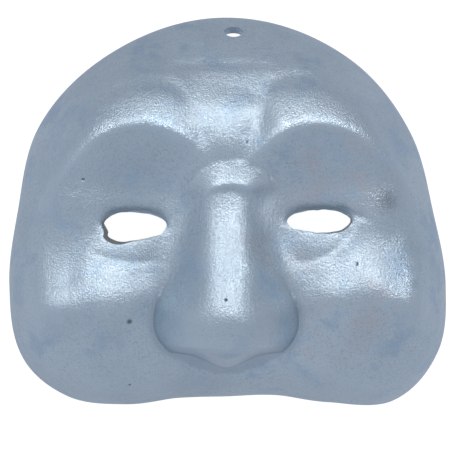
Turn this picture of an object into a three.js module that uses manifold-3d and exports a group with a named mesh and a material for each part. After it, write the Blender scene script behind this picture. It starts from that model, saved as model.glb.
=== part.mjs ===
// A folk-theatre half mask in thin moulded shell, lying face up on its rim.
// Millimetres. +Z points out of the face, +Y to the top of the forehead and +X to the viewer's right.
import * as THREE from "three";
import { ParametricGeometry } from "three/addons/geometries/ParametricGeometry.js";
import { mergeVertices } from "three/addons/utils/BufferGeometryUtils.js";
import Module from "manifold-3d";

const wasm = await Module();
wasm.setup();

// The shell.
const WALL = 3; // thickness, measured square to the face
const BOWL_HEIGHT = 39; // rise of the plain bowl from the rim to the flat of the face
const BOWL_REACH = 40; // distance over which the bowl rises
const POLE_Y = -28; // the rings of the mesh are drawn about this point, on the nose
const CENTRE_SHIFT_Y = -0.61; // puts the middle of the outline over the origin

// The outline: radius about the pole at each angle in degrees.
const RIM = [
  [0, 84.5], [20, 84.8], [40, 92.5], [62, 99.9], [90, 104.0], [118, 100.6],
  [140, 95.6], [160, 86.5], [180, 84.6], [200, 84.2], [215, 75.6], [229, 61.6],
  [246, 48.3], [270, 43.5], [294, 47.1], [311, 60.6], [325, 78.4], [342, 85.5],
];

// The brows, eyes and cheeks.
const BROW_HEIGHT = 8;
const BROW_CREST_X = 33;
const BROW_CREST_Y = 32.2;
const CHEEK_HEIGHT = 9.6;
const LEFT_EYE = { x: -33.8, y: -5.5, halfWidth: 11.6, halfHeight: 5.3 };
const RIGHT_EYE = { x: 33.5, y: -3.6, halfWidth: 11.8, halfHeight: 4.2 };
const EYE_HOLLOW = 3.1; // how far the face sinks over an eye hole; it sinks less below it

// The eye holes: radius about the eye's centre at each angle in degrees.
const LEFT_EYE_HOLE = [
  [0, 11.6], [11, 10.9], [22, 9.1], [35, 7.4], [62, 5.6], [93, 5.3], [124, 6.4],
  [145, 8.6], [172, 11.7], [182, 10.8], [198, 10.0], [213, 8.4], [236, 6.3],
  [259, 5.1], [299, 5.2], [328, 7.1], [345, 9.9],
];
const RIGHT_EYE_HOLE = [
  [3, 11.8], [18, 9.6], [40, 6.4], [62, 4.9], [90, 4.2], [112, 4.5], [129, 5.2],
  [151, 7.0], [168, 10.3], [180, 11.8], [193, 10.3], [204, 7.5], [228, 5.0],
  [258, 4.3], [289, 4.3], [322, 6.2], [344, 9.5],
];

// The panel between the brows, the roll over the root of the nose, and the nose itself.
const PANEL_Y = 22.3;
const PANEL_Z = 44.8;
const ROLL_Y = 11;
const ROLL_Z = 47.5;
const NOSE_ROOT_Z = 45.2;
const NOSE_SLOPE = 0.49;
const NOSE_ROOT_HALF_WIDTH = 10.3;
const NOSE_WIDENING = 5.9; // from the root to the middle of the bridge
const WING_HALF_WIDTH = 26.5;
const WING_Y = -40.5; // where the wings are widest
const NOSE_TIP_Y = -38.5; // where the tip begins to round over
const UNDERSIDE_Y = -48.5; // where it turns down
const NOSE_BASE_Y = -51.5; // where the underside of the wings meets the lip
const TIP_DROP = 6; // how much lower the underside of the tip ends

// The hanging hole near the top edge, square to the slope of the forehead.
const HANG_HOLE = { x: 2.3, y: 68.9, z: 14.1, radius: 3.6, tiltDegrees: 51 };

// Mesh fineness.
const ANGLES = 84;
const NOSE_RINGS = 10; // from the pole to the crease at the foot of the nose
const FACE_RINGS = 22; // from that crease to the rim
const BACK_NOSE_RINGS = 7;
const BACK_FACE_RINGS = 13;

const { abs, min, max, sin, cos, exp, hypot, sqrt, PI } = Math;
const square = (t) => t * t;
const clamp = (t, low, high) => min(max(t, low), high);
const ease = (t) => square(clamp(t, 0, 1)) * (3 - 2 * clamp(t, 0, 1));
const bell = (t, width) => exp(-square(t / width));
const rounded = (t, radius) => hypot(t, radius) - radius;

// A surface drawn up towards a higher one by a share of the gap, with a filleted edge.
const raised = (z, top, share, blend) => z + ((top - z + hypot(top - z, blend)) / 2) * share;

// A smooth closed curve through points given as angle and radius.
function closedCurve(points) {
  const count = points.length;
  const at = (i) => {
    const turn = Math.floor(i / count);
    const [degrees, radius] = points[i - turn * count];
    return [(degrees / 180 + 2 * turn) * PI, radius];
  };
  return (angle) => {
    const start = at(0)[0];
    const a = start + ((((angle - start) % (2 * PI)) + 2 * PI) % (2 * PI));
    let i = 0;
    while (i < count - 1 && at(i + 1)[0] <= a) i += 1;
    const [[a0, r0], [a1, r1], [a2, r2], [a3, r3]] = [i - 1, i, i + 1, i + 2].map(at);
    const span = a2 - a1;
    const t = (a - a1) / span;
    const slope1 = ((r2 - r0) / (a2 - a0)) * span;
    const slope2 = ((r3 - r1) / (a3 - a1)) * span;
    return r1 * square(1 - t) * (1 + 2 * t) + r2 * t * t * (3 - 2 * t)
      + slope1 * t * square(1 - t) - slope2 * t * t * (1 - t);
  };
}

const rimRadius = closedCurve(RIM);

// A soft oval mound of height 1, turned by some degrees.
function mound(x, y, centreX, centreY, reachX, reachY, degrees = 0) {
  const c = cos((degrees * PI) / 180);
  const s = sin((degrees * PI) / 180);
  const u = (x - centreX) * c + (y - centreY) * s;
  const v = (y - centreY) * c - (x - centreX) * s;
  return bell(u, reachX) * bell(v, reachY);
}

// The plain bowl: steep at the rim, then rounding over; the forehead slopes back most.
function bowl(angle, depth) {
  const forehead = bell(angle - PI / 2, (24 * PI) / 180);
  const chin = max(-sin(angle), 0) ** 1.2;
  const beside = bell(Math.asin(sin(angle)) + 0.03, (25 * PI) / 180);
  const reach = BOWL_REACH + 26 * forehead - 12 * chin - (17 + cos(angle)) * beside;
  const height = BOWL_HEIGHT + 2.5 * forehead - chin;
  const power = 1 / (1.9 - 0.42 * forehead);
  return height * (1 - square(1 - clamp(depth / reach, 0, 1))) ** power;
}

// The hollow around an eye hole, measured from the oval that the hole follows.
function eyeHollow(x, y, eye) {
  const u = (x - eye.x) / eye.halfWidth;
  const v = (y - eye.y) / eye.halfHeight;
  const rho = hypot(u, v);
  const gradient = max(hypot(u / eye.halfWidth, v / eye.halfHeight), 0.001);
  const distance = (max(rho - 1, 0) * rho) / gradient;
  return EYE_HOLLOW * ease((v + 0.7) / 1.7) * exp(-((distance / 2.6) ** 1.5));
}

// Brows, eye sockets, forehead and cheeks, as heights above the bowl.
function carving(x, y) {
  const side = abs(x);
  const right = ease((x + 6) / 12);
  const inward = square((BROW_CREST_X - side) / 18) * (6.3 + 1.2 * right);
  const outward = square((side - BROW_CREST_X) / 30) * (20 - 4 * right);
  const above = y - (BROW_CREST_Y + 0.4 * right - (side < BROW_CREST_X ? inward : outward));
  const decay = above < 0 ? 12 : 30 - 12 * bell(side - 12, 12);
  const brow = BROW_HEIGHT * exp(-rounded(above, 2.6) / decay)
    * ease((side + 8) / 30) * ease((82 - side) / 34) * ease((74 - y) / 30);
  const socket = 4.8 * mound(side, y, 32, 6, 20, y < 6 ? 10.5 : 13, -8)
    + 0.8 * mound(side, y, 15, -2, 8, 14);
  const forehead = 2.3 * mound(x, y, 0, 47.5, 17, 15);
  const temple = 2 * mound(side, y, 55, 2 - right, 14, 8);
  const cheekY = -36 + 2.2 * right
    + (1 - right) * (1.4 * bell(side - 34, 9) - 2.8 * bell(side - 55, 11));
  const cheek = (CHEEK_HEIGHT - right) * bell(side - 45, side > 45 ? 42 : 23)
    * bell(y - cheekY, 15.5 - 2.5 * ease((side - 50) / 14));
  const pouch = 0.5 * (1 - right) * mound(side, y, 36, -13, 12, 4.5);
  return brow - socket + forehead + temple + cheek + pouch
    - eyeHollow(x, y, LEFT_EYE) - eyeHollow(x, y, RIGHT_EYE);
}

// The raised panel between the brows: it narrows downward and rolls over at its foot.
const panelTop = (y) => PANEL_Z - 0.42 * rounded(y - PANEL_Y, 8) - 0.017 * square(max(y - 36, 0));
function panelShare(x, y) {
  const halfWidth = clamp(7.7 + 0.42 * (y - 27), 9, 12.3) - 0.35 * clamp(y - 39, 0, 8);
  const power = 2.6 + 3.4 * ease((y - 18) / 12);
  return exp(-(min(abs(x + 1.4) / halfWidth, 3) ** power))
    * ease((54 - y) / 14) * ease((y + 5) / 10);
}

// Height of the nose's ridge: level at the root, a straight slope, then level at the tip; the
// roll over the root steps up from it along an arch and slopes away to the panel.
function noseRidge(x, y) {
  const start = 2.6 - y;
  const end = -37 - y;
  const ridge = NOSE_ROOT_Z
    + (NOSE_SLOPE / 2) * (start + hypot(start, 6) - end - hypot(end, 4));
  const arched = y + 0.035 * x * x;
  const past = max(y - 18 + 0.04 * x * x, 0);
  const roll = ROLL_Z - 0.41 * (arched - ROLL_Y) - 0.5 * square(past);
  return ridge + (roll - ridge) * ease((arched - 6.2) / 4.4);
}

// How far a point is raised from the face to the ridge, 0 to 1: a rounded bridge, then wings
// with a sharper foot, and an underside that reaches lowest under the tip.
function noseShare(x, y) {
  const side = abs(x + 0.6);
  const halfWidth = NOSE_ROOT_HALF_WIDTH + 2.8 * ease((y - 5) / 7)
    + NOSE_WIDENING * ease((7 - y) / 29);
  const bridge = exp(-((side / halfWidth) ** 3.4));
  const wingHalfWidth = WING_HALF_WIDTH - square(y - WING_Y) / (y < WING_Y ? 22 : 46);
  const wings = 1 - clamp(side / max(wingHalfWidth, 10), 0, 1) ** 2.1;
  const across = bridge + (wings - bridge) * ease((-20 - y) / 18);
  const rounding = 1 - 0.1 * square(clamp((NOSE_TIP_Y - y) / 10, 0, 1));
  const baseY = NOSE_BASE_Y - TIP_DROP * bell(side, 9.5);
  const underside = clamp((y - baseY) / (UNDERSIDE_Y - baseY), 0, 1) ** 0.55;
  return across * rounding * underside * ease((30 - y) / 8);
}

// Height of the face without its nose, over the plane of the rim.
function faceHeight(x, y) {
  const angle = Math.atan2(y - POLE_Y, x);
  const depth = rimRadius(angle) - hypot(x, y - POLE_Y);
  if (depth <= 0) return 0;
  const z = bowl(angle, depth) + carving(x, y) * ease(depth / 16);
  return raised(z, panelTop(y), panelShare(x, y), 0.6);
}

const frontHeight = (x, y) => raised(faceHeight(x, y), noseRidge(x, y), noseShare(x, y), 0.5);

// Radius about the pole of the foot of the nose. Above the underside it is the mean of nine
// angles, so that the rings run smoothly past the root.
function creaseRadius(angle) {
  const spread = 0.05 * ease((sin(angle) + 0.5) / 0.6);
  let sum = 0;
  for (let turn = -4; turn <= 4; turn += 1) {
    const a = angle + turn * spread;
    let radius = 15;
    while (radius < 42 && noseShare(radius * cos(a), POLE_Y + radius * sin(a)) > 0.06) {
      radius += 0.1;
    }
    sum += radius;
  }
  return sum / 9;
}

// Height of the back: the front worn back by a ball whose radius is the wall.
function backHeight(x, y) {
  let z = frontHeight(x, y) - WALL;
  for (const share of [0.35, 0.65, 0.85, 0.97]) {
    for (let i = 0; i < 12; i += 1) {
      const a = (i / 12) * 2 * PI;
      const reach = WALL * share;
      const near = frontHeight(x + reach * cos(a), y + reach * sin(a));
      z = min(z, near - WALL * sqrt(1 - share * share));
    }
  }
  return max(z, 0);
}

// Radius of each ring from the pole: even over the nose, then crowding towards the steep rim.
function ringRadius(ring, noseRings, faceRings, crease, rim) {
  if (ring <= noseRings) return crease * (ring / noseRings) ** 0.8;
  const t = (ring - noseRings) / faceRings;
  return crease + (rim - crease) * (1 - (1 - t) ** 1.5);
}

// One skin from the middle of the back, out over the rim's flat edge, to the middle of the front.
const BACK_RINGS = BACK_NOSE_RINGS + BACK_FACE_RINGS;
const FRONT_RINGS = NOSE_RINGS + FACE_RINGS;
const RINGS = BACK_RINGS + 1 + FRONT_RINGS;
function skin(u, v, target) {
  const ring = Math.round(v * RINGS);
  const angle = u * 2 * PI;
  const rim = rimRadius(angle);
  const turn = (rimRadius(angle + 0.01) - rimRadius(angle - 0.01)) / 0.02 / rim;
  const backRim = rim - WALL * hypot(1, turn);
  const crease = creaseRadius(angle);
  const back = ring <= BACK_RINGS;
  const radius = back
    ? ringRadius(ring, BACK_NOSE_RINGS, BACK_FACE_RINGS, crease - 1, backRim)
    : ringRadius(RINGS - ring, NOSE_RINGS, FACE_RINGS, crease, rim);
  const x = radius * cos(angle);
  const y = POLE_Y + radius * sin(angle);
  const onEdge = ring === BACK_RINGS || ring === BACK_RINGS + 1;
  target.set(x, y, onEdge ? 0 : back ? backHeight(x, y) : frontHeight(x, y));
}

// A geometry as a solid, with seams welded and collapsed triangles dropped.
function solidOf(geometry) {
  const bare = new THREE.BufferGeometry();
  bare.setAttribute("position", geometry.getAttribute("position"));
  bare.setIndex(geometry.index);
  const welded = mergeVertices(bare, 1e-3);
  const kept = [];
  for (let i = 0; i < welded.index.count; i += 3) {
    const [a, b, c] = [0, 1, 2].map((k) => welded.index.getX(i + k));
    if (a !== b && b !== c && c !== a) kept.push(a, b, c);
  }
  return new wasm.Manifold(new wasm.Mesh({
    numProp: 3,
    vertProperties: new Float32Array(welded.attributes.position.array),
    triVerts: new Uint32Array(kept),
  }));
}

// A straight cutter through the face in the outline of an eye hole.
function eyeCutter(eye, outline) {
  const radiusAt = closedCurve(outline);
  const points = [];
  for (let i = 0; i < 40; i += 1) {
    const a = (i / 40) * 2 * PI;
    points.push(new THREE.Vector2(eye.x + radiusAt(a) * cos(a), eye.y + radiusAt(a) * sin(a)));
  }
  const shape = new THREE.Shape(points);
  const geometry = new THREE.ExtrudeGeometry(shape, { depth: 40, bevelEnabled: false });
  geometry.translate(0, 0, 20);
  return solidOf(geometry);
}

function hangHoleCutter() {
  const geometry = new THREE.CylinderGeometry(HANG_HOLE.radius, HANG_HOLE.radius, 14, 32);
  geometry.rotateX(((90 - HANG_HOLE.tiltDegrees) * PI) / 180);
  geometry.translate(HANG_HOLE.x, HANG_HOLE.y, HANG_HOLE.z);
  return solidOf(geometry);
}

const blank = new ParametricGeometry(skin, ANGLES, RINGS);
let shell = solidOf(blank);
if (shell.volume() < 0) throw new Error("the skin faces inwards");
for (const cutter of [
  eyeCutter(LEFT_EYE, LEFT_EYE_HOLE),
  eyeCutter(RIGHT_EYE, RIGHT_EYE_HOLE),
  hangHoleCutter(),
]) {
  shell = shell.subtract(cutter);
}

const mesh = shell.getMesh();
const geometry = new THREE.BufferGeometry();
geometry.setAttribute("position", new THREE.BufferAttribute(mesh.vertProperties, 3));
geometry.setIndex(new THREE.BufferAttribute(mesh.triVerts, 1));
geometry.translate(0, CENTRE_SHIFT_Y, 0);
geometry.computeVertexNormals();

const silverPaint = new THREE.MeshStandardMaterial({
  color: 0x97a3b0,
  roughness: 0.45,
  metalness: 0.85,
});
const maskShell = new THREE.Mesh(geometry, silverPaint);
maskShell.name = "mask_shell";

const mask = new THREE.Group();
mask.add(maskShell);
export default mask;
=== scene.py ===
"""A folk-theatre half mask, papier-mache painted silver, lying face up and seen from above.

Metres. The face looks along +Z, the forehead's top is at +Y and the viewer's right is +X.
"""

import math

import bpy
import numpy as np
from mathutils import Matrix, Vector


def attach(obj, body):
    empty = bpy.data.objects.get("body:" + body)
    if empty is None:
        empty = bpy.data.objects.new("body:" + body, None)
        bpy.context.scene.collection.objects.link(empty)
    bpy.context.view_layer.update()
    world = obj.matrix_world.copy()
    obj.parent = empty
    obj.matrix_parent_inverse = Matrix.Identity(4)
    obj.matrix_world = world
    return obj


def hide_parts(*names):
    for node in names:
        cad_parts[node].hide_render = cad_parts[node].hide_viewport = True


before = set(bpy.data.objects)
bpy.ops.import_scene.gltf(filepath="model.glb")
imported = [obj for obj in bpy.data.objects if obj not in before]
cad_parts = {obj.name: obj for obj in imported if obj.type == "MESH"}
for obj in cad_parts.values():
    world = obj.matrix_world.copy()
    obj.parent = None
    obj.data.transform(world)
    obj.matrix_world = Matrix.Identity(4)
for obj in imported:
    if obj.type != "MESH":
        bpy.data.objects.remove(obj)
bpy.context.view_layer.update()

# THE OUTLINE OF THE MASK
# The mask is one thin shell of pressed papier-mache, cut along a rim that lies in one plane.
# Its sizes are millimetres, and its outline and rings are drawn about a pole on the nose.
MM = 0.001
WALL = 3.0
POLE_Y = -28.0
CENTRE_SHIFT_Y = -0.61  # puts the middle of the outline over the origin
RIM = [  # radius about the pole at each angle in degrees
    (0, 84.5), (20, 84.8), (40, 92.5), (62, 99.9), (90, 104.0), (118, 100.6),
    (140, 95.6), (160, 86.5), (180, 84.6), (200, 84.2), (215, 75.6), (229, 61.6),
    (246, 48.3), (270, 43.5), (294, 47.1), (311, 60.6), (325, 78.4), (342, 85.5),
]


def closed_curve(points, angle):
    """Radius at each angle of a smooth loop through points of (degrees, radius).

    Between two neighbours it is the cubic whose end slopes are those of the chords across them.
    """
    at, radius = np.array(points, float).T
    at = np.radians(np.r_[at[-1] - 360, at, at[:2] + 360])
    radius = np.r_[radius[-1], radius, radius[:2]]
    angle = at[1] + np.mod(angle - at[1], 2 * math.pi)
    i = np.clip(np.searchsorted(at, angle, side="right") - 1, 1, len(points))
    span = at[i + 1] - at[i]
    t = (angle - at[i]) / span
    slope_in = (radius[i + 1] - radius[i - 1]) / (at[i + 1] - at[i - 1]) * span
    slope_out = (radius[i + 2] - radius[i]) / (at[i + 2] - at[i]) * span
    return (
        radius[i] * (1 - t) ** 2 * (1 + 2 * t)
        + radius[i + 1] * t**2 * (3 - 2 * t)
        + slope_in * t * (1 - t) ** 2
        - slope_out * t**2 * (1 - t)
    )


def aslant(points, angle, step):
    """How much longer a gap to a closed curve is along the radius than square to the curve: the
    hypotenuse of 1 and the change of the curve's radius per radian over that radius."""
    change = closed_curve(points, angle + step) - closed_curve(points, angle - step)
    return np.hypot(1, change / (2 * step) / closed_curve(points, angle))


def inside_rim(x, y):
    """Angle of points about the pole, and how far inside the rim they lie along the radius."""
    angle = np.arctan2(y - POLE_Y, x)
    return angle, closed_curve(RIM, angle) - np.hypot(x, y - POLE_Y)


# THE CARVING OF THE FACE
# The face was pressed in a mould: a deep bowl with rolled brows, sunken sockets and full cheeks.
# Each form is a height over the bowl, and the two halves of the face differ a little.
BOWL_HEIGHT, BOWL_REACH = 39, 40
BROW_X, BROW_Y, BROW_HEIGHT = 33, 32.2, 8.0
BROW_RADIUS = 2.6
SOCKET_DEPTH = 4.8
CHEEK_X, CHEEK_Y, CHEEK_HEIGHT = 48, -36, 9.6
LEFT_EYE = {"centre": (-33.8, -5.5), "half": (11.6, 5.3)}
RIGHT_EYE = {"centre": (33.5, -3.6), "half": (11.8, 4.2)}
EYE_HOLLOW = 3.1
FURROW_DEPTH, FURROW_Y = 0.7, 47.8
VALLEY_X, VALLEY_Y = 12.3, 37  # beside the panel between the brows
FORM_FADE = 16  # distance from the rim over which the forms begin


def ease(t):
    """0 up to 1 as t goes from 0 to 1, level at both ends: 3 t^2 - 2 t^3."""
    t = np.clip(t, 0, 1)
    return t * t * (3 - 2 * t)


def between(t, start, rise, end, fall):
    """1 between start and end, eased up over the rise after start and down over the fall before
    end."""
    return ease((t - start) / rise) * ease((end - t) / fall)


def bell(t, width):
    """1 at t = 0, falling off as exp(-(t/width)^2)."""
    return np.exp(-((t / width) ** 2))


def rounded(t, radius):
    """Distance from 0, its corner rounded off: the root of t^2 + radius^2, less radius."""
    return np.sqrt(t * t + radius * radius) - radius


def mound(x, y, centre_x, centre_y, reach_x, reach_y, degrees=0.0):
    """An oval mound of height 1: one bell along each of its two turned axes, multiplied."""
    c, s = math.cos(math.radians(degrees)), math.sin(math.radians(degrees))
    u = (x - centre_x) * c + (y - centre_y) * s
    v = (y - centre_y) * c - (x - centre_x) * s
    return bell(u, reach_x) * bell(v, reach_y)


def on_right(x):
    """0 on the viewer's left half of the face and 1 on the right, eased over 12 mm between."""
    return ease((x + 6) / 12)


def bowl(angle, depth):
    """Height of the plain bowl by the depth inward from the rim, a rounded arch: the height
    times (1 - (1 - depth/reach)^2)^power. It is widest and slowest to rise on the forehead."""
    forehead = bell(angle - math.pi / 2, math.radians(24))
    chin = np.clip(-np.sin(angle), 0, None) ** 1.2
    beside = bell(np.arcsin(np.sin(angle)) + 0.03, math.radians(25))
    reach = BOWL_REACH + 26 * forehead - 12 * chin - (17 + np.cos(angle)) * beside
    height = BOWL_HEIGHT + 2.5 * forehead - chin
    power = 1 / (1.9 - 0.42 * forehead)
    return height * (1 - (1 - np.clip(depth / reach, 0, 1)) ** 2) ** power


def brows(x, y):
    """A ridge along an arched curve over each eye: exp(-distance/decay) of the rounded distance
    to the curve, short below it and long above, faded out at its ends and over the forehead."""
    side, right = np.abs(x), on_right(x)
    inward = ((BROW_X - side) / 18) ** 2 * (6.3 + 1.2 * right)
    outward = ((side - BROW_X) / 30) ** 2 * (20 - 4 * right)
    above = y - (BROW_Y + 0.4 * right - np.where(side < BROW_X, inward, outward))
    decay = np.where(above < 0, 12, 30 - 12 * bell(side - 12, 12))
    ridge = BROW_HEIGHT * np.exp(-rounded(above, BROW_RADIUS) / decay)
    return ridge * between(side, -8, 30, 82, 34) * ease((74 - y) / 30)


def sockets(x, y):
    """Sunken ovals round the eyes, each with a shallow one beside the root of the nose."""
    side = np.abs(x)
    around_eye = mound(side, y, 32, 6, 20, np.where(y < 6, 10.5, 13), -8)
    beside_nose = mound(side, y, 15, -2, 8, 14)
    return SOCKET_DEPTH * around_eye + 0.8 * beside_nose


def cheeks(x, y):
    """A long mound on each side: a bell along a line that waves a little, longer outward from
    its middle, times a bell across the line, wider above the line and narrower at its outer end."""
    side, right = np.abs(x), on_right(x)
    left_wave = 1.4 * bell(side - 34, 9) - 0.6 * bell(side - 55, 11)
    right_wave = 1.4 * bell(side - 50, 7)
    line_y = CHEEK_Y + 2.2 * right + (1 - right) * left_wave + right * right_wave
    middle = CHEEK_X - 3 * right
    reach = np.where(side > middle, 38 + 4 * right, 22 + right)
    flank = np.where(y > line_y, (1.8 - right) * ease((58 - side) / 8), 0)
    width = 15.5 + flank - 4 * ease((side - 50) / 14)
    height = CHEEK_HEIGHT - 1.4 * right
    return height * bell(side - middle, reach) * bell(y - line_y, width)


def pouches(x, y):
    """Low mounds under each eye and at its inner corner."""
    side, right = np.abs(x), on_right(x)
    under_eye = (0.5 - 0.15 * right) * mound(side, y, 36, -13 + 0.8 * right, 12, 4.5)
    towards_nose = 0.5 * right * mound(side, y, 26, -10.5, 8, 6)
    inner_corner = (0.9 + 0.9 * right) * mound(side, y, 16, 0, 6, 10)
    return under_eye + towards_nose + inner_corner


def valleys(x, y):
    """Shallow dips: one beside the panel between the brows, one inside the right cheek."""
    beside_panel = 1.0 * mound(x, y, VALLEY_X, VALLEY_Y, 4, 10)
    return beside_panel + 0.3 * on_right(x) * mound(x, y, 36, -26, 9, 8)


def oval_distance(x, y, centre, half):
    """Distance outside an oval: its level function over that function's slope."""
    u, v = (x - centre[0]) / half[0], (y - centre[1]) / half[1]
    rho = np.hypot(u, v)
    slope = np.hypot(u / half[0], v / half[1]).clip(0.001)
    return np.clip(rho - 1, 0, None) * rho / slope


def eye_hollow(x, y, eye):
    """How far the face sinks towards an eye hole: exp(-(gap/2.6)^1.5) of the gap to the eye's
    oval, deepest above the hole, nothing below it, and less beyond its two corners."""
    (centre_x, centre_y), (half_x, half_y) = eye["centre"], eye["half"]
    upper = ease(((y - centre_y) / half_y + 0.7) / 1.7)
    corner = ease((np.abs(x - centre_x) / half_x - 0.5) / 0.6)
    gap = oval_distance(x, y, eye["centre"], eye["half"])
    return EYE_HOLLOW * upper * (1 - 0.6 * corner) * np.exp(-((gap / 2.6) ** 1.5))


def carving(x, y):
    """All the forms of the face but its panel and nose, summed."""
    forehead = 2.3 * mound(x, y, 0, 42.5, 19, 14)
    temples = 2.0 * mound(np.abs(x), y, 55, 2 - on_right(x), 14, 8)
    z = brows(x, y) - sockets(x, y) - valleys(x, y) + cheeks(x, y) + pouches(x, y)
    z = z + forehead + temples
    for eye in (LEFT_EYE, RIGHT_EYE):
        z = z - eye_hollow(x, y, eye)
    return z


def outer_fold(x, y):
    """1 along a short fold that runs down and outward from the right eye's upper lid."""
    return bell(y + 0.2 + 0.4 * (x - 44.7), 1.3) * between(x, 39, 4, 55, 7)


def creases(x, y):
    """Shallow lines pressed into the skin, each a bell across a curve, faded out at its ends."""
    side, right = np.abs(x), on_right(x)
    inner_bend = (8 - 5 * right) * ((27 - side) / 14) ** 2
    outer_bend = 7 * ((side - 27) / 20) ** 2
    furrow_y = FURROW_Y + 1.7 * right - np.where(side < 27, inner_bend, outer_bend)
    furrow = FURROW_DEPTH * bell(y - furrow_y, 3.2) * between(side, 12, 7, 62, 22)
    left_bag_y = -18.3 + 0.013 * (side - 33) ** 2
    right_bag_y = -18.2 + 0.034 * (side - 27) ** 2
    bag_y = np.where(x > 0, right_bag_y, left_bag_y)
    bag = 0.22 * bell(y - bag_y, 1.5) * between(side, 22, 8, 54, 8)
    lid = 0.12 * mound(side, y, 33, 3.6, 13, 3.4, -3)
    wrinkle = 0.3 * bell(y - 54.8 + 0.0016 * x * x, 1.9) * between(x, -44, 14, 26, 14)
    upper = 0.15 * bell(y - 62.0 + 0.003 * x * x, 1.6) * between(x, -26, 10, 16, 20)
    return lid - furrow - bag - wrinkle - upper - 0.35 * outer_fold(x, y)


# THE PANEL AND THE NOSE
# Between the brows stands a raised panel, and under it a roll lies over the root of a big hooked
# nose with broad wings. Each is drawn up from the face by a share of the way to its own top.
PANEL_X, PANEL_Y, PANEL_Z = -1.1, 22.3, 44.8
ROLL_X, ROLL_Y, ROLL_Z = 1.3, 11, 46.8
NOSE_X = -0.6
NOSE_ROOT_Y, NOSE_ROOT_Z = 2.6, 45.2
NOSE_SLOPE = 0.49
NOSE_END_Y = -37.0  # where the ridge is level again
NOSE_ROOT_HALF_WIDTH = 10.3
NOSE_WIDENING = 5.9  # from the root to the middle of the bridge
WING_Y, WING_HALF_WIDTH = -40.5, 26.5
NOSE_TIP_Y = -38.5  # where the tip begins to round over
UNDERSIDE_Y = -48.5  # where it turns down
NOSE_BASE_Y = -51.5  # where the underside of the wings meets the lip
TIP_DROP = 6.0  # how much lower the underside of the tip ends
PANEL_FILLET, NOSE_FILLET = 0.6, 0.5
BALL_RINGS, BALL_PLACES = (0.35, 0.65, 0.85, 0.97), 12


def ramp(t, blend):
    """0 below 0 and t above it, the corner rounded: half the sum of t and its hypotenuse with
    the blend."""
    return (t + np.hypot(t, blend)) / 2


def raised(z, top, share, blend):
    """A surface z drawn up towards a higher one by a share of the gap, with a filleted edge."""
    return z + ramp(top - z, blend) * share


def panel_top(y):
    """Height of the panel: highest on a rounded ridge across it, falling away on both sides of
    that ridge, and faster near its top."""
    fall = 0.42 * rounded(y - PANEL_Y, 8.0)
    return PANEL_Z - fall - 0.021 * np.clip(y - 35.3, 0, None) ** 2


def panel_share(x, y):
    """1 on the panel, 0 outside it, falling as exp(-(side/width)^power); it narrows to its top
    and further downward, where its sides are also rounder."""
    half_width = np.clip(7.9 + 0.42 * (y - 28), 7.9, 12.0) - 0.35 * np.clip(y - 39, 0, 8)
    power = 2.6 + 3.4 * ease((y - 18) / 12)
    across = np.exp(-(np.clip(np.abs(x - PANEL_X) / half_width, 0, 3) ** power))
    return across * between(y, -5, 10, 54, 14)


def nose_ridge(x, y):
    """Height of the nose's ridge: level at the root, then climbing straight to the tip, both
    bends rounded; over the root it steps up along an arch to the roll, which slopes away."""
    climb = ramp(NOSE_ROOT_Y - y, 8.5) - ramp(NOSE_END_Y - y, 4.0)
    ridge = NOSE_ROOT_Z + NOSE_SLOPE * climb
    arched = y + 0.032 * (x - ROLL_X) ** 2
    past = np.clip(y - 18.0 + 0.036 * (x - ROLL_X) ** 2, 0, None)
    above = arched - ROLL_Y
    roll = ROLL_Z - 0.34 * above + 0.005 * above**2 - 0.5 * past**2
    return ridge + (roll - ridge) * ease((arched - 7.4) / 2.6)


def nose_share(x, y):
    """How far each point is raised from the face to the nose's ridge, 0 to 1. Across the bridge
    it falls as exp(-(side/width)^2.9) and across the wings as 1 - (side/width)^2.1, the one
    passing into the other; along the nose it ends in a rounded underside."""
    from_middle = x - NOSE_X - 1.5 * ease((y - 5) / 6)
    half_width = NOSE_ROOT_HALF_WIDTH + NOSE_WIDENING * ease((7 - y) / 29)
    bridge_width = half_width + 4.0 * ease((y - 5) / 7) + 0.2 + 0.9 * ease((-14 - y) / 14)
    bridge_side = np.abs(from_middle - 0.9 * ease((-12 - y) / 12))
    bridge = np.exp(-((bridge_side / bridge_width) ** 2.9))
    side = np.abs(from_middle)
    wing_width = WING_HALF_WIDTH - (y - WING_Y) ** 2 / np.where(y < WING_Y, 22, 46)
    wings = 1 - np.clip(side / np.clip(wing_width, 10, None), 0, 1) ** 2.1
    across = bridge + (wings - bridge) * ease((-20 - y) / 18)
    rounding = 1 - 0.1 * np.clip((NOSE_TIP_Y - y) / 10, 0, 1) ** 2
    base_y = NOSE_BASE_Y - TIP_DROP * bell(side, 9.5)
    underside = np.clip((y - base_y) / (UNDERSIDE_Y - base_y), 0, 1) ** 0.55
    return across * rounding * underside * ease((30 - y) / 8)


def face_height(x, y, fine=1.0):
    """Height of the face without its nose; fine scales the shallow creases."""
    angle, depth = inside_rim(x, y)
    carved = (carving(x, y) + fine * creases(x, y)) * ease(depth / FORM_FADE)
    z = bowl(angle, np.clip(depth, 0, None)) + carved
    return np.where(depth > 0, raised(z, panel_top(y), panel_share(x, y), PANEL_FILLET), 0)


def front_height(x, y, fine=1.0):
    """Height of the whole front: the face, drawn up to the nose's ridge by the nose's share."""
    z = face_height(x, y, fine)
    return raised(z, nose_ridge(x, y), nose_share(x, y), NOSE_FILLET)


def places_around(x, y, reach, count):
    """Points x and y moved to each of some even places on a ring about them."""
    for turn in np.arange(count) / count * 2 * math.pi:
        yield x + reach * math.cos(turn), y + reach * math.sin(turn)


def back_height(x, y):
    """Height of the back: the front worn back by a ball whose radius is the wall."""
    z = front_height(x, y, 0.0) - WALL
    for share in BALL_RINGS:
        drop = WALL * math.sqrt(1 - share**2)
        for place in places_around(x, y, WALL * share, BALL_PLACES):
            z = np.minimum(z, front_height(*place, 0.0) - drop)
    return np.clip(z, 0, None)


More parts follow.
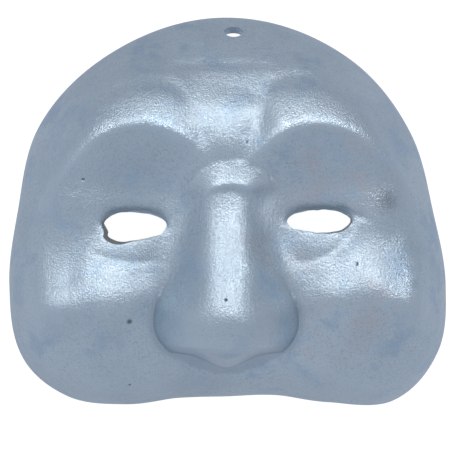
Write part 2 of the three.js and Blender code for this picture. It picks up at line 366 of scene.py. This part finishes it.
# THE HOLES
# Two eye holes were cut by hand through the wet shell with a slanted knife and their edges
# pressed round, so no side of them is quite true. A hole for a cord was bored near the top edge.
LEFT_HOLE = [  # radius about the eye's centre at each angle in degrees
    (2, 11.5), (11, 10.9), (22, 9.1), (35, 7.4), (62, 5.5), (93, 5.2), (124, 6.4),
    (145, 8.6), (172, 11.7), (182, 10.8), (191, 10.0), (198, 10.2), (213, 8.4),
    (236, 6.3), (259, 5.1), (299, 5.2), (328, 7.1), (345, 9.9),
]
RIGHT_HOLE = [
    (3, 11.8), (18, 9.6), (40, 6.4), (55, 5.3), (90, 4.1), (112, 4.5), (129, 5.2),
    (151, 7.0), (168, 10.3), (180, 11.8), (193, 10.3), (204, 7.5), (228, 5.0),
    (258, 4.3), (289, 4.3), (322, 6.2), (344, 9.5),
]
LEFT_SLANT = {"lean": 0.5, "towards": 207}  # outward per mm of height, at an angle in degrees
RIGHT_SLANT = {"lean": 0.22, "towards": -25}
SLANT_BREADTH = 0.62  # how far round the hole it reaches from that angle, in radians
LOWER_LEAN = 0.08  # the lean along the whole lower side of both holes
OUTLINE_Z = 36.0  # height at which a cut follows its drawn outline
CUT_LOW, CUT_HIGH = 28, 48
CORD_HOLE = {"centre": (2.3, 68.9, 14.1), "radius": 3.6, "tilt": math.radians(51)}
CORD_HOLE_SEEN = (3.6, 2.3)  # its half sizes from straight above
CORD_CUT = 7  # half the length of the bore
EYE_CUT_POINTS, CORD_CUT_POINTS = 120, 48


def hole_distance(x, y, centre, outline):
    """Distance outside a drawn hole: the radial gap, shortened where the outline runs aslant."""
    dx, dy = x - centre[0], y - centre[1]
    angle = np.arctan2(dy, dx)
    gap = np.hypot(dx, dy) - closed_curve(outline, angle)
    return np.clip(gap / aslant(outline, angle, 0.03), 0, None)


def worn_edges(x, y):
    """How far the front sinks beside each hole, as a bell of the distance to its edge: along the
    upper sides of the eye holes, at the left one's outer lower corner and round the cord hole."""
    left = hole_distance(x, y, LEFT_EYE["centre"], LEFT_HOLE)
    right = hole_distance(x, y, RIGHT_EYE["centre"], RIGHT_HOLE)
    cord = oval_distance(x, y, CORD_HOLE["centre"], CORD_HOLE_SEEN)
    corner = mound(x, y, -43, -9.5, 6, 4)
    above_left = 0.5 * ease((y - LEFT_EYE["centre"][1] + 3) / 4)
    above_right = 0.5 * ease((y - RIGHT_EYE["centre"][1] + 3) / 4)
    return (
        (above_left + 0.9 * corner) * bell(left, 0.6 + 0.7 * corner)
        + above_right * bell(right, 0.6)
        + 0.5 * bell(cord, 0.6)
    )


def prism(name, lower, upper, low, high):
    """A closed prism between a lower and an upper loop of points, at heights low and high."""
    count = len(lower)
    rings = np.vstack([np.c_[lower, np.full(count, low)], np.c_[upper, np.full(count, high)]])
    i = np.arange(count)
    j = (i + 1) % count
    sides = np.stack([i, j, j + count, i + count], 1).tolist()
    caps = [i[::-1].tolist(), (i + count).tolist()]
    mesh = bpy.data.meshes.new(name)
    mesh.from_pydata(rings.tolist(), [], sides + caps)
    cutter = bpy.data.objects.new(name, mesh)
    bpy.context.collection.objects.link(cutter)
    return cutter


def eye_cutter(name, eye, outline, slant):
    """A prism in an eye hole's outline. Its radius grows with the height by a lean: a little
    along the lower side, and by the slant in one direction, falling off as a bell beside it."""
    turn = np.linspace(0, 2 * math.pi, EYE_CUT_POINTS, endpoint=False)
    away = (turn - math.radians(slant["towards"]) + math.pi) % (2 * math.pi) - math.pi
    lean = LOWER_LEAN * np.clip(-np.sin(turn), 0, 1) + slant["lean"] * bell(away, SLANT_BREADTH)
    loops = []
    for height in (CUT_LOW, CUT_HIGH):
        radius = closed_curve(outline, turn) + lean * (height - OUTLINE_Z)
        x = eye["centre"][0] + radius * np.cos(turn)
        y = eye["centre"][1] + radius * np.sin(turn) + CENTRE_SHIFT_Y
        loops.append(np.c_[x, y] * MM)
    return prism(name, *loops, CUT_LOW * MM, CUT_HIGH * MM)


def coordinates(items, kind):
    """One kind of vector of a mesh's vertices or faces, as rows of x, y and z."""
    values = np.empty(len(items) * 3)
    items.foreach_get(kind, values)
    return values.reshape(-1, 3).T


def cord_cutter(name):
    """A round prism tilted to run along the slope's normal at the cord hole."""
    turn = np.linspace(0, 2 * math.pi, CORD_CUT_POINTS, endpoint=False)
    circle = np.c_[np.cos(turn), np.sin(turn)] * CORD_HOLE["radius"] * MM
    cutter = prism(name, circle, circle, -CORD_CUT * MM, CORD_CUT * MM)
    c, s = math.cos(CORD_HOLE["tilt"]), math.sin(CORD_HOLE["tilt"])
    x, y, z = coordinates(cutter.data.vertices, "co")
    hole_x, hole_y, hole_z = CORD_HOLE["centre"]
    moved = np.c_[
        x + hole_x * MM,
        y * c + z * s + (hole_y + CENTRE_SHIFT_Y) * MM,
        z * c - y * s + hole_z * MM,
    ]
    cutter.data.vertices.foreach_set("co", moved.ravel())
    return cutter


# THE SHELL
# One skin runs from the middle of the back, out over the rim's flat edge and back over the front
# to the tip of the nose, in rings about the pole; the holes are then cut through it.
ANGLES = 456
NOSE_RINGS, FACE_RINGS = 52, 100
BACK_NOSE_RINGS, BACK_FACE_RINGS = 16, 26
NOSE_CROWDING, RIM_CROWDING = 0.85, 1.4  # powers that set the rings' spacing
HAND_WAVES, HAND_DEPTH = 26, 0.055
SHORT_WAVE, LONG_WAVE = 9, 34
EDGE_FADE = 12  # distance from the rim over which wear and unevenness begin
CREASE_NEAR, CREASE_FAR, CREASE_STEP = 15, 45, 0.05  # where the nose's crease is looked for
CREASE_SHARE = 0.06  # share of the nose that is left there
SHARP_ANGLE = math.radians(48)


def hand_made(x, y):
    """Slight unevenness of the hand: the sum of many plane waves of random length, turn and
    phase, each with its length over the longest length as its height, scaled to the depth."""
    chance = np.random.default_rng(11)
    low, high = (SHORT_WAVE, 0, 0), (LONG_WAVE, np.pi, 2 * np.pi)
    z = np.zeros_like(x)
    for length, turn, phase in chance.uniform(low, high, (HAND_WAVES, 3)):
        along = x * np.cos(turn) + y * np.sin(turn)
        z += length / LONG_WAVE * np.cos(2 * np.pi * along / length + phase)
    return HAND_DEPTH * z


def crease_radius(angle):
    """Radius where the nose meets the face: the first place outward with almost no nose left."""
    radius = np.arange(CREASE_NEAR, CREASE_FAR, CREASE_STEP)[None, :]
    x = radius * np.cos(angle)[:, None]
    y = POLE_Y + radius * np.sin(angle)[:, None]
    past = nose_share(x, y) < CREASE_SHARE
    return np.where(past.any(1), radius[0, past.argmax(1)], CREASE_FAR)


def ring_radii(nose_rings, face_rings, crease, rim):
    """Radii of all rings at every angle: nearly even over the nose, by a power of the ring's
    share, then crowding towards the rim, by a power of what is left to it."""
    on_nose = (np.arange(nose_rings + 1) / nose_rings)[:, None] ** NOSE_CROWDING
    left = 1 - (np.arange(1, face_rings + 1) / face_rings)[:, None]
    on_face = 1 - left**RIM_CROWDING
    return np.vstack([crease * on_nose, crease + (rim - crease) * on_face])


turns = np.linspace(0, 2 * math.pi, ANGLES, endpoint=False)
rim = closed_curve(RIM, turns)
back_rim = rim - WALL * aslant(RIM, turns, 0.01)
crease = crease_radius(turns)
# Averaged over five neighbouring angles, so that the rings run smoothly.
crease = sum(np.roll(crease, shift) for shift in (-2, -1, 0, 1, 2)) / 5

front = ring_radii(NOSE_RINGS, FACE_RINGS, crease, rim)
x, y = front * np.cos(turns), POLE_Y + front * np.sin(turns)
uneven = ease((rim - front) / EDGE_FADE) * (hand_made(x, y) - worn_edges(x, y))
front_points = np.stack([x, y + CENTRE_SHIFT_Y, front_height(x, y) + uneven], 2)
front_points[-1, :, 2] = 0

back = ring_radii(BACK_NOSE_RINGS, BACK_FACE_RINGS, crease - 1, back_rim)
x, y = back * np.cos(turns), POLE_Y + back * np.sin(turns)
back_points = np.stack([x, y + CENTRE_SHIFT_Y, back_height(x, y)], 2)
back_points[-1, :, 2] = 0


def skin_mesh(name, rings):
    """A closed mesh from rings of points, of which the first and the last are one point each."""
    count = rings.shape[1]
    points = np.vstack([rings[0, :1], rings[1:-1].reshape(-1, 3), rings[-1, :1]])
    i = np.arange(count)
    j = (i + 1) % count
    start = 1 + np.arange(len(rings) - 3)[:, None] * count
    quads = np.stack([start + i, start + j, start + count + j, start + count + i], 2)
    last = 1 + (len(rings) - 3) * count
    first_tip = np.c_[np.zeros(count, int), j + 1, i + 1]
    last_tip = np.c_[last + i, last + j, np.full(count, len(points) - 1)]
    faces = quads.reshape(-1, 4).tolist() + first_tip.tolist() + last_tip.tolist()
    mesh = bpy.data.meshes.new(name)
    mesh.from_pydata((points * MM).tolist(), [], faces)
    return mesh


skin = skin_mesh("mask", np.concatenate([back_points, front_points[::-1]]))
shell = bpy.data.objects.new("mask", skin)
bpy.context.collection.objects.link(shell)

cutters = [
    eye_cutter("left_eye_cutter", LEFT_EYE, LEFT_HOLE, LEFT_SLANT),
    eye_cutter("right_eye_cutter", RIGHT_EYE, RIGHT_HOLE, RIGHT_SLANT),
    cord_cutter("cord_hole_cutter"),
]
for cutter in cutters:
    cut = shell.modifiers.new(cutter.name, "BOOLEAN")
    cut.operation = "DIFFERENCE"
    cut.solver = "EXACT"
    cut.object = cutter
bpy.context.view_layer.update()
cut_mesh = bpy.data.meshes.new_from_object(
    shell.evaluated_get(bpy.context.evaluated_depsgraph_get())
)
shell.modifiers.clear()
shell.data = cut_mesh
for cutter in cutters:
    bpy.data.objects.remove(cutter)
cut_mesh.polygons.foreach_set("use_smooth", np.ones(len(cut_mesh.polygons), bool))
cut_mesh.set_sharp_from_angle(angle=SHARP_ANGLE)


# THE SHELL'S HOLLOWS AND CUT WALLS
# Two values are kept with the mesh for the paint: at each point how hollow the front is, plus
# where painted shade goes, and on each face whether it is the raw wall of an eye hole.
HOLLOW_RINGS, HOLLOW_PLACES = (2.0, 4.5), 8
HOLLOW_FADE = 14  # distance from the rim over which hollows begin
SKIN_NEAR = 1.8  # a point of the front lies this close to the front's height
SKIN_LOW = 4  # and above this, since nearer the rim the back comes as close
WALL_LEVEL = 0.45  # a wall's normal points up or down by less than this
WALL_NEAR = 2.2  # and the wall lies this close to its eye's oval


def hollowness(x, y):
    """How far the front around a point, at places on two rings, lies above it on average."""
    around = [
        front_height(*place)
        for reach in HOLLOW_RINGS
        for place in places_around(x, y, reach, HOLLOW_PLACES)
    ]
    return np.mean(around, 0) - front_height(x, y)


def painted_shade_places(x, y):
    """Where painted shade goes: painted shadow under the nose's tip, painted shade over the eye
    holes and along their edges, beside the panel, and in the fold outside the right eye."""
    share = between(y, -58.5, 2, -48, 3) * ease((15 - np.abs(x - NOSE_X)) / 4)
    for eye, outline in ((LEFT_EYE, LEFT_HOLE), (RIGHT_EYE, RIGHT_HOLE)):
        above = np.clip((y - eye["centre"][1]) / eye["half"][1], 0, 1)
        share = share + above * bell(oval_distance(x, y, eye["centre"], eye["half"]), 2.4)
        share = share + 0.6 * bell(hole_distance(x, y, eye["centre"], outline), 0.6)
    share = share + 0.6 * mound(x, y, VALLEY_X, VALLEY_Y, 2.4, 11)
    return share + 0.8 * outer_fold(x, y)


x, y, z = coordinates(cut_mesh.vertices, "co") / MM
y = y - CENTRE_SHIFT_Y
fade = ease(inside_rim(x, y)[1] / HOLLOW_FADE)
on_front = (np.abs(z - front_height(x, y)) < SKIN_NEAR) & (z > SKIN_LOW)
# Painted shade: the front's hollowness plus the places of painted shade, faded in from the rim.
shade_and_sheen = np.where(on_front, (hollowness(x, y) + 1.3 * painted_shade_places(x, y)) * fade, 0)
cut_mesh.attributes.new("shade_and_sheen", "FLOAT", "POINT").data.foreach_set("value", shade_and_sheen)

x, y, z = coordinates(cut_mesh.polygons, "center") / MM
y = y - CENTRE_SHIFT_Y
upright = np.abs(coordinates(cut_mesh.polygons, "normal")[2]) < WALL_LEVEL
near_left = oval_distance(x, y, LEFT_EYE["centre"], LEFT_EYE["half"]) < WALL_NEAR
near_right = oval_distance(x, y, RIGHT_EYE["centre"], RIGHT_EYE["half"]) < WALL_NEAR
on_wall = upright & (near_left | near_right)
cut_mesh.attributes.new("cut", "FLOAT", "FACE").data.foreach_set("value", on_wall.astype(float))


# THE SILVER PAINT
# Silver paint brushed thinly over the paper: satin, cloudy, with pores and brush hairs, rubbed
# warm in places where the ground shows through, and darker in the pits. Painted shade darkens the
# hollows, and the ridges are paler with wear and a painted highlight. Cut walls stay raw.
SILVER = (0.555, 0.668, 0.748, 1)
PALE_SILVER = (0.645, 0.757, 0.832, 1)
BLUE_SILVER = (0.50, 0.635, 0.765, 1)
DARK_SILVER = (0.44, 0.53, 0.60, 1)
WARM_GROUND = (0.63, 0.655, 0.70, 1)
PIT = (0.10, 0.11, 0.125, 1)
RAW_EDGE = (0.18, 0.17, 0.15, 1)
# Spots on the front: x, y and radius.
THIN_PAINT = [(38, 14, 36), (16, -16, 22), (18, -50, 32), (54, -38, 28)]
PITS = [
    (-35.3, -40.5, 1.5), (-36.1, -64.6, 0.8), (-0.6, -31.8, 0.8), (7.1, 24.5, 0.6),
    (-52.6, 11, 0.9),
]
STAIN = (58.2, 3.6, 7)
CRESCENT, CRESCENT_GAP = (46.6, -19.7, 0.95), (46.1, -19.7, 1.05)


class Field:
    """A value or colour in a node tree, on which + - and * add their Math nodes."""

    def __init__(self, nodes, socket):
        self.nodes = nodes
        self.socket = socket

    def math(self, operation, first, second):
        values = {0: first, 1: second}
        return self.nodes.field("ShaderNodeMath", {"operation": operation}, values)

    def __add__(self, other):
        return self.math("ADD", self, other)

    def __radd__(self, other):
        """The number 0 that sum starts from needs no node."""
        return self if other == 0 else self + other

    def __sub__(self, other):
        return self.math("SUBTRACT", self, other)

    def __rsub__(self, other):
        return self.math("SUBTRACT", other, self)

    def __mul__(self, other):
        return self.math("MULTIPLY", self, other)

    __rmul__ = __mul__

    def step(self, low, high):
        """0 below low, 1 above high, eased between."""
        settings = {"interpolation_type": "SMOOTHSTEP"}
        values = {"Value": self, "From Min": low, "From Max": high}
        return self.nodes.field("ShaderNodeMapRange", settings, values)


class Nodes:
    """A node tree, with one method that adds any node."""

    def __init__(self, tree):
        self.tree = tree

    def node(self, kind, settings=None, values=None):
        node = self.tree.nodes.new(kind)
        for key, value in (settings or {}).items():
            setattr(node, key, value)
        for key, value in (values or {}).items():
            if isinstance(value, Field):
                self.tree.links.new(value.socket, node.inputs[key])
            else:
                node.inputs[key].default_value = value
        return node

    def field(self, kind, settings=None, values=None, output=0):
        return Field(self, self.node(kind, settings, values).outputs[output])

    def noise(self, place, scale, detail, roughness):
        """Noise of some cells per metre, centred on 0.5."""
        values = {"Vector": place, "Scale": scale, "Detail": detail, "Roughness": roughness}
        return self.field("ShaderNodeTexNoise", None, values)

    def mix(self, factor, first, second):
        """From the first colour to the second; 6 and 7 are a Mix node's sockets for colours."""
        values = {0: factor, 6: first, 7: second}
        return self.field("ShaderNodeMix", {"data_type": "RGBA"}, values, 2)

    def spot(self, place, where, soft):
        """1 in a ball about a place on the front, fading over a soft share of its radius."""
        x, y, radius = where
        centre = Vector((x, y, front_height(x, y - CENTRE_SHIFT_Y))) * MM
        values = {0: place, 1: centre}
        gap = self.field("ShaderNodeVectorMath", {"operation": "DISTANCE"}, values, "Value")
        return 1 - gap.step(radius * (1 - soft) * MM, radius * MM)


def new_material(name):
    """An empty material, and its nodes."""
    material = bpy.data.materials.new(name)
    material.use_nodes = True
    material.node_tree.nodes.clear()
    return material, Nodes(material.node_tree)


silver, paint = new_material("silver_paint")
place = paint.field("ShaderNodeTexCoord", output="Object")
brushed = {"Vector": place, "Scale": (22, 1, 6)}
along_brush = paint.field("ShaderNodeMapping", {"vector_type": "POINT"}, brushed)
shade_and_sheen = paint.field("ShaderNodeAttribute", {"attribute_name": "shade_and_sheen"}, output=2)
cut = paint.field("ShaderNodeAttribute", {"attribute_name": "cut"}, output=2)

clouds = paint.noise(place, 22, 3, 0.6)
patches = paint.noise(place, 70, 3, 0.65)
dabs = paint.noise(place, 160, 2, 0.6)
grain = paint.noise(place, 620, 3, 0.6)
pores = paint.noise(place, 1500, 2, 0.6)
hairs = paint.noise(along_brush, 60, 2, 0.5)

colour = paint.mix(clouds.step(0.35, 0.65), SILVER, PALE_SILVER)
colour = paint.mix(1 - patches.step(0.3, 0.5), colour, BLUE_SILVER)
thin = sum(paint.spot(place, where, 1.0) for where in THIN_PAINT)
warm = patches.step(0.44, 0.62) * (0.12 + thin) + dabs.step(0.55, 0.75) * 0.25
colour = paint.mix(warm * 0.8, colour, WARM_GROUND)
dark_pores = pores.step(0.5, 0.68) * 0.7 + grain.step(0.52, 0.72) * 0.4
colour = paint.mix(dark_pores * 0.85, colour, DARK_SILVER)
# Painted shade: the hollows and creases, the underside of the nose's tip and the places over and
# along the eye holes darkened.
colour = paint.mix(shade_and_sheen.step(0.1, 1.2) * 0.6, colour, DARK_SILVER)
# Paler on the raised ridges: rubbed wear, and a painted highlight there.
rubbed_and_highlight = (shade_and_sheen * -1).step(0.15, 0.7)
colour = paint.mix(rubbed_and_highlight * 0.5, colour, PALE_SILVER)

crescent = paint.spot(place, CRESCENT, 0.5) * (1 - paint.spot(place, CRESCENT_GAP, 0.5))
pits = sum(paint.spot(place, where, 0.9) for where in PITS) + crescent
colour = paint.mix(pits * 0.8, colour, PIT)
colour = paint.mix(paint.spot(place, STAIN, 1.0) * 0.45, colour, PIT)
colour = paint.mix(cut * 0.85, colour, RAW_EDGE)

height = grain * 0.6 + pores * 0.8 + hairs * 0.4 + dabs * 0.65 - pits * 2.0
relief = {"Height": height, "Strength": 0.6, "Distance": 0.4 * MM}
bump = paint.field("ShaderNodeBump", None, relief)
roughness = 0.37 + (grain - 0.5) * 0.25 + (dabs - 0.5) * 0.25 + pits * 0.2 - rubbed_and_highlight * 0.05
finish = {
    "Base Color": colour,
    "Roughness": roughness,
    "Metallic": 0.92 - cut * 0.6,
    "Normal": bump,
}
surface = paint.field("ShaderNodeBsdfPrincipled", None, finish)
paint.node("ShaderNodeOutputMaterial", None, {"Surface": surface})
cut_mesh.materials.clear()
cut_mesh.materials.append(silver)

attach(shell, "root")
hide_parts("mask_shell")


# THE FLOOR
# A plain white table top with a little light in it, as in a studio, so that it looks as pale
# through the eye holes as around the mask. The silver doesn't mirror it. From here on, metres.
TABLE_HALF = 3.0


def flat_sheet(name, points, height):
    """One flat face through points, at a height."""
    mesh = bpy.data.meshes.new(name)
    corners = np.c_[points, np.full(len(points), height)]
    mesh.from_pydata(corners.tolist(), [], [list(range(len(points)))])
    sheet = bpy.data.objects.new(name, mesh)
    bpy.context.collection.objects.link(sheet)
    return sheet


table = flat_sheet("table", TABLE_HALF * np.array([(-1, -1), (1, -1), (1, 1), (-1, 1)]), 0.0)
white, white_nodes = new_material("table_white")
lit = {
    "Base Color": (0.30, 0.30, 0.30, 1),
    "Roughness": 0.9,
    "Emission Color": (1, 1, 1, 1),
    "Emission Strength": 0.95,
}
table_top = white_nodes.field("ShaderNodeBsdfPrincipled", None, lit)
white_nodes.node("ShaderNodeOutputMaterial", None, {"Surface": table_top})
table.data.materials.append(white)
table.visible_glossy = False
table.visible_diffuse = False


# THE CAMERA
# It looks straight down from 600 mm above the rim, a little below the middle of the face, and
# takes in 176.3 mm across in the plane of the rim.
EYE_HEIGHT = 0.6
PICTURE_WIDTH = 0.17628
CAMERA_X, CAMERA_Y = -0.0006, -0.00591
SENSOR = 36.0

camera_data = bpy.data.cameras.new("camera")
camera_data.sensor_width = SENSOR
camera_data.lens = SENSOR * EYE_HEIGHT / PICTURE_WIDTH
camera_data.clip_start = 0.01
camera_data.clip_end = 10.0
camera = bpy.data.objects.new("camera", camera_data)
camera.location = (CAMERA_X, CAMERA_Y, EYE_HEIGHT)
bpy.context.collection.objects.link(camera)
bpy.context.scene.camera = camera
bpy.context.scene.view_settings.view_transform = "Standard"


# THE LIGHT
# Soft studio light: a wide, low panel beyond the forehead, a weak one at each side of it, and a
# pale surround that is a little dimmer to the right and beyond the forehead.
AIM = Vector((0, 0, 0.03))
SURROUND = (0.475, 0.505, 0.575, 1)
BLACK = (0, 0, 0, 1)


def panel(name, place, width, height, power):
    """A rectangular area light at place, turned to face the mask, its width along X."""
    data = bpy.data.lights.new(name, "AREA")
    data.shape = "RECTANGLE"
    data.size = width
    data.size_y = height
    data.energy = power
    light = bpy.data.objects.new(name, data)
    light.location = place
    light.rotation_mode = "QUATERNION"
    light.rotation_quaternion = (Vector(place) - AIM).to_track_quat("Z", "Y")
    bpy.context.collection.objects.link(light)


panel("key", (0.08, 0.92, 0.86), 1.65, 0.2, 4.7)
panel("left_side", (-0.84, 0.78, 0.84), 0.7, 0.55, 0.5)
panel("right_side", (0.84, 0.78, 0.84), 0.7, 0.55, 0.42)

world = bpy.data.worlds.new("surround")
world.use_nodes = True
sky = Nodes(world.node_tree)
direction = sky.field("ShaderNodeTexCoord", output="Generated")
parts = sky.node("ShaderNodeSeparateXYZ", None, {0: direction})
to_right, to_top, to_sky = (Field(sky, parts.outputs[k]) for k in (0, 1, 2))
# Steep sides of the mask mirror what lies under the table's level, which is paler at the sides.
downward = (to_sky * -1).step(0.0, 0.8)
paler = downward * (to_right * to_right * 0.35 + to_right * 0.16 + to_top * 0.1)
dim = (to_right + 1) * 0.06 + to_top.step(-0.2, 1.2) * 0.22 - paler
glow = sky.mix(dim, SURROUND, BLACK)
sky.tree.links.new(glow.socket, sky.tree.nodes["Background"].inputs[0])
bpy.context.scene.world = world
